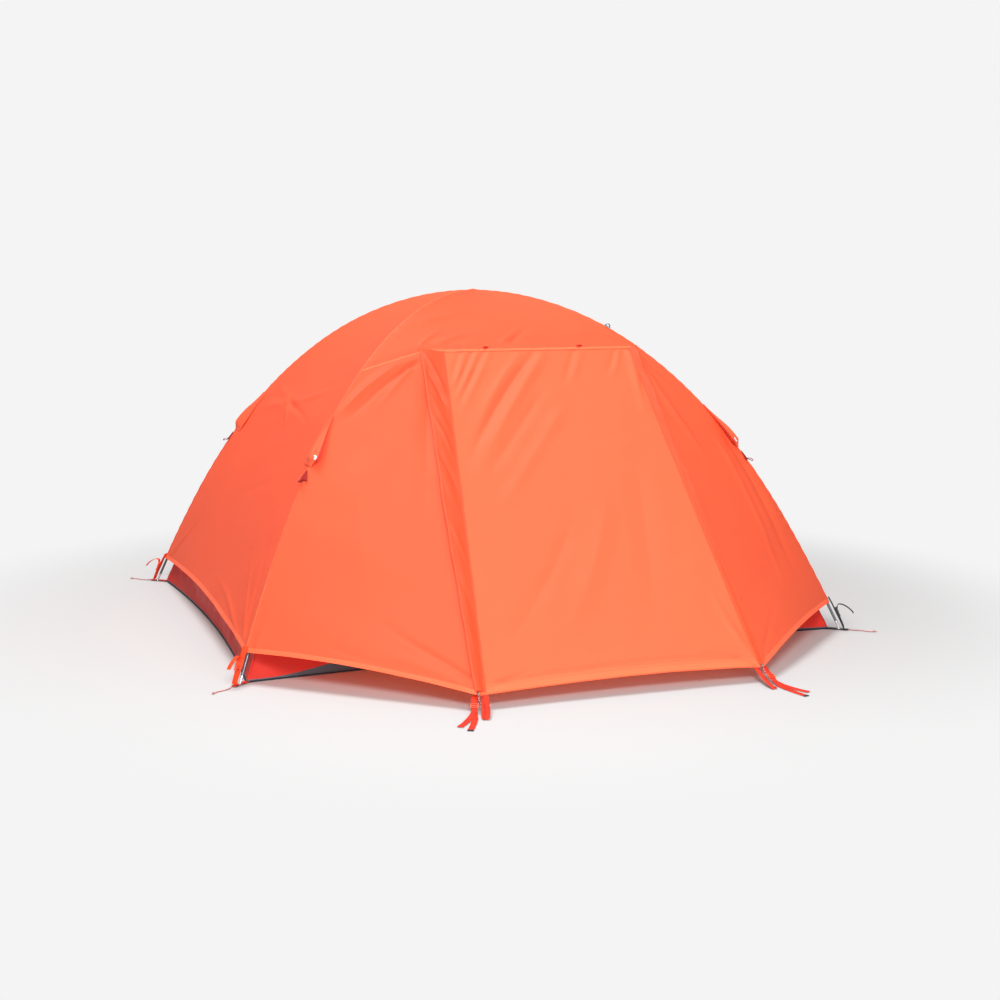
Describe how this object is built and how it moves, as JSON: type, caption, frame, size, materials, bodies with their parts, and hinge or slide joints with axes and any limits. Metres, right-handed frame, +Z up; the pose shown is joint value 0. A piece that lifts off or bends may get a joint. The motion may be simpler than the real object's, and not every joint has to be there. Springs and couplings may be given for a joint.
{
  "type": "dome tent on poles",
  "caption": "Free-standing dome tent: crossing arched poles carry an inner canopy and a weather fly with a zipped vestibule on each long side.",
  "frame": {"origin": "centre of the footprint on the ground, under the pole crossing", "axes": "+X along the long floor side, +Y across the vestibules (front vestibule towards -Y), +Z up"},
  "size_m": [2.424, 3.2666, 1.234],
  "materials": {
    "fly_fabric": "satin",
    "inner_fabric": "matte",
    "tub_fabric": "satin",
    "floor_fabric": "satin",
    "pole_tube": "satin",
    "ferrule": "satin",
    "dark_plastic": "matte",
    "orange_plastic": "satin",
    "white_plastic": "satin",
    "grommet": "satin",
    "shock_cord": "matte",
    "zip_tape": "matte",
    "slider_metal": "satin",
    "red_trim": "matte",
    "dark_webbing": "matte",
    "orange_webbing": "matte",
    "red_cord": "matte"
  },
  "bodies": {
    "tent": {"lower_pole": "pole_tube", "upper_pole": "pole_tube", "pole_ferrules": "ferrule", "pole_tips": "dark_plastic", "shock_cords": "shock_cord", "crossing_clip": "dark_plastic", "pole_clips": "dark_plastic", "corner_grommets": "grommet", "floor_tabs_left": "orange_webbing", "floor_tabs_right": "dark_webbing", "floor_sheet": "floor_fabric", "tub_front": "tub_fabric", "tub_rear": "tub_fabric", "tub_left": "tub_fabric", "tub_right": "tub_fabric", "inner_roof": "inner_fabric", "inner_end_left": "inner_fabric", "inner_end_right": "inner_fabric", "inner_wall_front": "inner_fabric", "inner_wall_rear": "inner_fabric", "inner_zips": "zip_tape", "fly_roof": "fly_fabric", "fly_end_left": "fly_fabric", "fly_end_right": "fly_fabric", "fly_wing_front_left": "fly_fabric", "fly_wing_front_right": "fly_fabric", "fly_wing_rear_left": "fly_fabric", "fly_wing_rear_right": "fly_fabric", "fly_zips": "zip_tape", "vent_hoods": "fly_fabric", "guy_tabs": "red_trim", "roll_up_toggles": "red_trim", "corner_straps_left": "orange_webbing", "corner_straps_right": "dark_webbing", "corner_buckles_left": "orange_plastic", "corner_buckles_right": "dark_plastic", "vestibule_straps": "orange_webbing", "vestibule_adjusters": "dark_plastic", "stake_cord_front_left": "red_cord", "stake_cord_front_right": "dark_webbing", "stake_cord_rear_left": "red_cord", "stake_cord_rear_right": "dark_webbing", "cord_knots": "red_cord"},
    "front_door": {"fly_door_front": "fly_fabric", "storm_flaps_front": "fly_fabric"},
    "rear_door": {"fly_door_rear": "fly_fabric", "storm_flaps_rear": "fly_fabric"},
    "inner_front_door": {"inner_door_front": "inner_fabric"},
    "inner_rear_door": {"inner_door_rear": "inner_fabric"},
    "inner_front_slider": {"inner_slider_front": "slider_metal"},
    "inner_rear_slider": {"inner_slider_rear": "slider_metal"},
    "front_left_slider": {"fly_slider_front_left": "slider_metal"},
    "front_right_slider": {"fly_slider_front_right": "slider_metal"},
    "rear_left_slider": {"fly_slider_rear_left": "slider_metal"},
    "rear_right_slider": {"fly_slider_rear_right": "slider_metal"},
    "front_left_strut": {"vent_strut_front_left": "white_plastic"},
    "front_right_strut": {"vent_strut_front_right": "white_plastic"},
    "rear_left_strut": {"vent_strut_rear_left": "white_plastic"},
    "rear_right_strut": {"vent_strut_rear_right": "white_plastic"}
  },
  "joints": [
    {"name": "front_door_lift", "type": "hinge", "parent": "tent", "child": "front_door", "pos_m": [0, -0.41406, 1.02595], "axis": [-1, 0, 0], "range_deg": [0, 95]},
    {"name": "rear_door_lift", "type": "hinge", "parent": "tent", "child": "rear_door", "pos_m": [0, 0.41406, 1.02595], "axis": [1, 0, 0], "range_deg": [0, 95]},
    {"name": "inner_front_door_swing", "type": "hinge", "parent": "tent", "child": "inner_front_door", "pos_m": [-0.43, -0.82231, 0.13337], "axis": [0, 0.4516, 0.8922], "range_deg": [0, 23]},
    {"name": "inner_rear_door_swing", "type": "hinge", "parent": "tent", "child": "inner_rear_door", "pos_m": [0.43, 0.82231, 0.13337], "axis": [0, -0.4516, 0.8922], "range_deg": [0, 23]},
    {"name": "inner_front_zip", "type": "slide", "parent": "tent", "child": "inner_front_slider", "axis": [0, 0.4516, 0.8922], "range_m": [0, 0.5]},
    {"name": "inner_rear_zip", "type": "slide", "parent": "tent", "child": "inner_rear_slider", "axis": [0, -0.4516, 0.8922], "range_m": [0, 0.5]},
    {"name": "front_left_zip", "type": "slide", "parent": "tent", "child": "front_left_slider", "axis": [0.1236, 0.7105, 0.6928], "range_m": [0, 1.356]},
    {"name": "front_right_zip", "type": "slide", "parent": "tent", "child": "front_right_slider", "axis": [-0.0008, 0.7159, 0.6982], "range_m": [0, 1.345]},
    {"name": "rear_right_zip", "type": "slide", "parent": "tent", "child": "rear_right_slider", "axis": [-0.1236, -0.7105, 0.6928], "range_m": [0, 1.356]},
    {"name": "rear_left_zip", "type": "slide", "parent": "tent", "child": "rear_left_slider", "axis": [0.0008, -0.7159, 0.6982], "range_m": [0, 1.345]},
    {"name": "front_left_strut_fold", "type": "hinge", "parent": "tent", "child": "front_left_strut", "pos_m": [-0.79448, -0.63842, 0.69172], "axis": [-0.6264, 0.7795, 0], "range_deg": [0, 75]},
    {"name": "front_right_strut_fold", "type": "hinge", "parent": "tent", "child": "front_right_strut", "pos_m": [0.79448, -0.63842, 0.69172], "axis": [-0.6264, -0.7795, 0], "range_deg": [0, 75]},
    {"name": "rear_left_strut_fold", "type": "hinge", "parent": "tent", "child": "rear_left_strut", "pos_m": [-0.79448, 0.63842, 0.69172], "axis": [0.6264, 0.7795, 0], "range_deg": [0, 75]},
    {"name": "rear_right_strut_fold", "type": "hinge", "parent": "tent", "child": "rear_right_strut", "pos_m": [0.79448, 0.63842, 0.69172], "axis": [0.6264, -0.7795, 0], "range_deg": [0, 75]}
  ]
}
